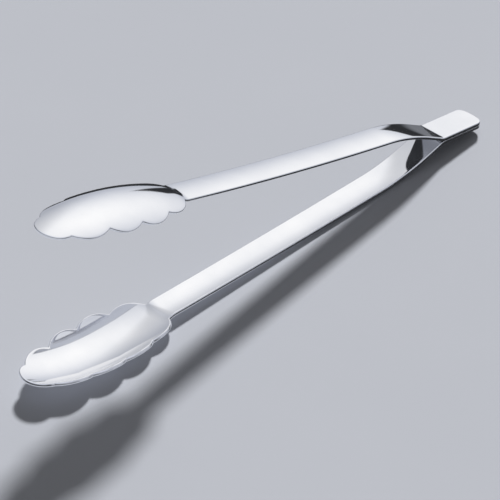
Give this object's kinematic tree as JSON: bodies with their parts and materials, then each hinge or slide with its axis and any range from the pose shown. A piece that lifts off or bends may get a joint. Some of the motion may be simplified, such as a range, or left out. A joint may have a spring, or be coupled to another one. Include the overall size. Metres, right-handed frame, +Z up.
{
  "type": "serving tongs",
  "caption": "Spring-action serving tongs of polished steel sheet: scalloped scoops on long arched arms, joined at a flat welded end.",
  "frame": {"origin": "middle of the overall box in plan, on the surface the tongs lie on", "axes": "+X from the scoops towards the welded tails, +Y across the strips, +Z up from the table"},
  "size_m": [0.3044, 0.0378, 0.0895],
  "materials": {
    "polished_steel": "stainless steel polished mirror bright",
    "weld_steel": "bare fused steel"
  },
  "bodies": {
    "lower_arm": {"lower_spring": "polished_steel", "lower_arm": "polished_steel", "lower_scoop": "polished_steel"},
    "end": {"upper_tail": "polished_steel", "lower_tail": "polished_steel", "spot_welds": "weld_steel"},
    "upper_arm": {"upper_spring": "polished_steel", "upper_arm": "polished_steel", "upper_scoop": "polished_steel"}
  },
  "joints": [
    {"name": "lower_flex", "type": "hinge", "parent": "lower_arm", "child": "end", "pos_m": [0.12375, 0, 0.00778], "axis": [0, -1, 0], "range_deg": [0, 7.5], "stiffness_Nm_per_rad": 8, "springref_deg": -1.15},
    {"name": "upper_flex", "type": "hinge", "parent": "end", "child": "upper_arm", "pos_m": [0.12404, 0, 0.00976], "axis": [0, -1, 0], "range_deg": [0, 7.5], "stiffness_Nm_per_rad": 8, "springref_deg": -1.15}
  ],
  "couplings": [
    {"joint": "upper_flex", "follows": "lower_flex", "ratio": 1}
  ]
}
